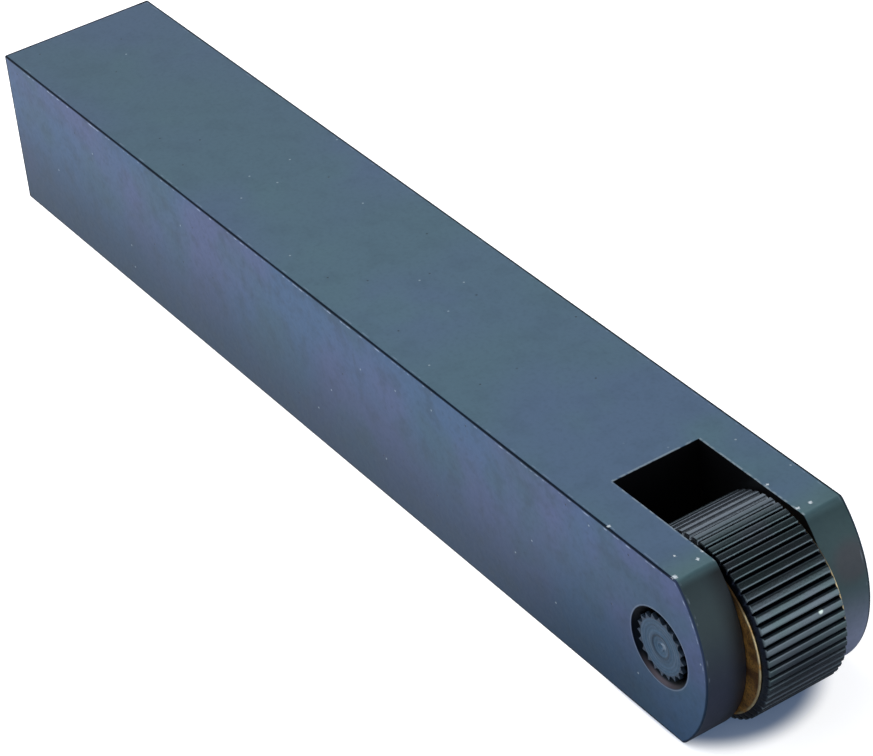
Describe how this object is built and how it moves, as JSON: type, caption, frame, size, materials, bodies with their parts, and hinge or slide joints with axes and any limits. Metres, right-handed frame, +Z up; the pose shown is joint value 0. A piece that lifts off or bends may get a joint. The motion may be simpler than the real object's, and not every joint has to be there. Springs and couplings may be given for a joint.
{
  "type": "knurling tool",
  "caption": "Straight knurling tool: a square shank, forked at its nose, carries one grooved knurl wheel between brass thrust washers on a pressed, serrated pin.",
  "frame": {"origin": "on the bottom face, under the middle of the tool's length and width", "axes": "+X along the shank towards the wheel, +Z up, the pin's serrated end on the -Y side"},
  "size_m": [0.137, 0.02, 0.02],
  "materials": {
    "blued_shank": "black-oxide blueing on a milled square bar, satin",
    "blued_pin": "turned steel, blued with the shank",
    "blackened_wheel": "hardened and blackened, slightly rough",
    "brass_washer": "oiled and tarnished"
  },
  "bodies": {
    "holder": {"shank_holder": "blued_shank", "axle_pin": "blued_pin"},
    "wheel": {"knurl_wheel": "blackened_wheel"},
    "near_thrust_washer": {"near_washer": "brass_washer"},
    "far_thrust_washer": {"far_washer": "brass_washer"}
  },
  "joints": [
    {"name": "wheel_spin", "type": "hinge", "parent": "holder", "child": "wheel", "pos_m": [0.0585, 0, 0.01], "axis": [0, 1, 0], "continuous": true},
    {"name": "near_washer_spin", "type": "hinge", "parent": "holder", "child": "near_thrust_washer", "pos_m": [0.0585, 0, 0.01], "axis": [0, 1, 0], "continuous": true},
    {"name": "far_washer_spin", "type": "hinge", "parent": "holder", "child": "far_thrust_washer", "pos_m": [0.0585, 0, 0.01], "axis": [0, 1, 0], "continuous": true}
  ]
}
